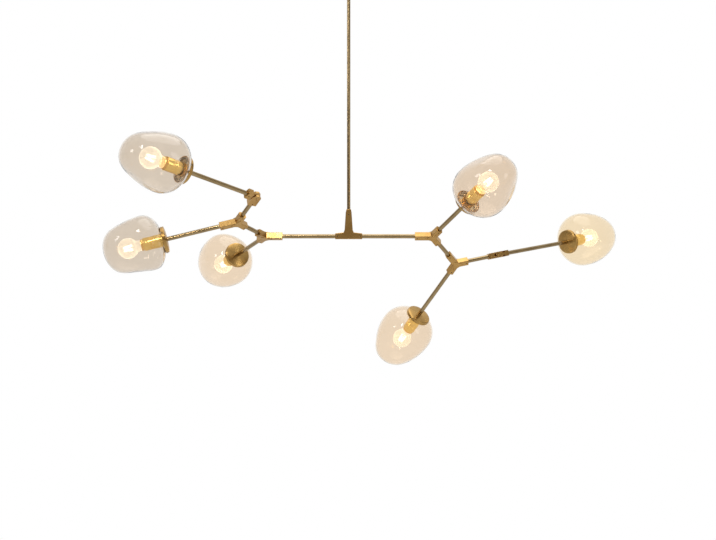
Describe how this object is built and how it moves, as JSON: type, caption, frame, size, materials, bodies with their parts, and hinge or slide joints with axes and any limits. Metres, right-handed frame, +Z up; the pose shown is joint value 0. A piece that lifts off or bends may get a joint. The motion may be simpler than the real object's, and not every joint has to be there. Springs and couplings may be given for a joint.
{
  "type": "branching glass globe chandelier",
  "caption": "Branching pendant light: brass tubes, three-legged hubs and hinged knuckles carry dimpled clear glass globes with round bulbs under a ceiling rod.",
  "frame": {"origin": "centre of the two ceiling screws, on the ceiling face of the crossbar, on the rod axis", "axes": "+Z up to the ceiling, +X to the right along the main tubes, -Y towards the viewer"},
  "size_m": [1.2452, 0.787, 0.9403],
  "materials": {
    "satin_brass": "satin, lightly antiqued",
    "dark_steel": "black oxide",
    "crossbar_steel": "zinc plated",
    "terminal_plastic": "moulded",
    "tinted_glass": "clear, champagne tint, blown",
    "bulb_glass": "clear, lit warm"
  },
  "bodies": {
    "ceiling_plate": {"crossbar": "crossbar_steel", "canopy": "satin_brass", "stem_nipple": "satin_brass", "stem_collar": "satin_brass", "terminal_block": "terminal_plastic"},
    "stem": {"stem_rod": "satin_brass", "tee_hub": "satin_brass", "tee_set_screws": "dark_steel", "main_tube_left": "satin_brass", "main_tube_right": "satin_brass"},
    "left_branch": {"left_hub": "satin_brass", "left_hub_set_screws": "dark_steel", "left_link_tube": "satin_brass", "arm_tube_3": "satin_brass", "shade_cup_3": "satin_brass", "lampholder_3": "satin_brass", "bulb_3": "bulb_glass", "glass_globe_3": "tinted_glass"},
    "left_outer_branch": {"left_outer_hub": "satin_brass", "left_outer_hub_set_screws": "dark_steel", "elbow_stub_tube": "satin_brass", "arm_tube_2": "satin_brass", "shade_cup_2": "satin_brass", "lampholder_2": "satin_brass", "bulb_2": "bulb_glass", "glass_globe_2": "tinted_glass"},
    "elbow_base": {"elbow_fork": "satin_brass", "elbow_pin": "satin_brass"},
    "elbow_arm": {"elbow_tongue": "satin_brass", "arm_1_set_screws": "dark_steel", "arm_tube_1": "satin_brass", "shade_cup_1": "satin_brass", "lampholder_1": "satin_brass", "bulb_1": "bulb_glass", "glass_globe_1": "tinted_glass"},
    "right_branch": {"right_hub": "satin_brass", "right_hub_set_screws": "dark_steel", "right_link_tube": "satin_brass", "arm_tube_4": "satin_brass", "shade_cup_4": "satin_brass", "lampholder_4": "satin_brass", "bulb_4": "bulb_glass", "glass_globe_4": "tinted_glass"},
    "right_outer_branch": {"right_outer_hub": "satin_brass", "right_outer_hub_set_screws": "dark_steel", "inline_stub_tube": "satin_brass", "arm_tube_5": "satin_brass", "shade_cup_5": "satin_brass", "lampholder_5": "satin_brass", "bulb_5": "bulb_glass", "glass_globe_5": "tinted_glass"},
    "inline_base": {"inline_fork": "satin_brass", "inline_pin": "satin_brass"},
    "inline_arm": {"inline_tongue": "satin_brass", "arm_6_set_screws": "dark_steel", "arm_tube_6": "satin_brass", "shade_cup_6": "satin_brass", "lampholder_6": "satin_brass", "bulb_6": "bulb_glass", "glass_globe_6": "tinted_glass"}
  },
  "joints": [
    {"name": "stem_swivel", "type": "hinge", "parent": "ceiling_plate", "child": "stem", "pos_m": [0, 0, -0.044], "axis": [0, 0, -1], "range_deg": [-170, 170]},
    {"name": "left_branch_turn", "type": "hinge", "parent": "stem", "child": "left_branch", "pos_m": [-0.196, 0, -0.62], "axis": [-1, 0, 0], "range_deg": [-120, 120]},
    {"name": "left_outer_turn", "type": "hinge", "parent": "left_branch", "child": "left_outer_branch", "pos_m": [-0.251, -0.0906, -0.59056], "axis": [-0.5, -0.8236, 0.2676], "range_deg": [-120, 120]},
    {"name": "elbow_turn", "type": "hinge", "parent": "left_outer_branch", "child": "elbow_base", "pos_m": [-0.20256, -0.166, -0.53779], "axis": [0.4658, -0.7249, 0.5074], "range_deg": [-110, 110]},
    {"name": "elbow_hinge", "type": "hinge", "parent": "elbow_base", "child": "elbow_arm", "pos_m": [-0.20256, -0.166, -0.53779], "axis": [0.1561, -0.4972, -0.8535], "range_deg": [-145, 25]},
    {"name": "right_branch_turn", "type": "hinge", "parent": "stem", "child": "right_branch", "pos_m": [0.196, 0, -0.62], "axis": [1, 0, 0], "range_deg": [-120, 120]},
    {"name": "right_outer_turn", "type": "hinge", "parent": "right_branch", "child": "right_outer_branch", "pos_m": [0.258, 0.08688, -0.68312], "axis": [0.5, 0.7006, -0.509], "range_deg": [-120, 120]},
    {"name": "inline_turn", "type": "hinge", "parent": "right_outer_branch", "child": "inline_base", "pos_m": [0.36329, 0.10515, -0.66163], "axis": [0.9659, 0.1676, 0.1972], "range_deg": [-120, 120]},
    {"name": "inline_hinge", "type": "hinge", "parent": "inline_base", "child": "inline_arm", "pos_m": [0.36329, 0.10515, -0.66163], "axis": [-0.2066, 0.0403, 0.9776], "range_deg": [-128, 71]}
  ]
}
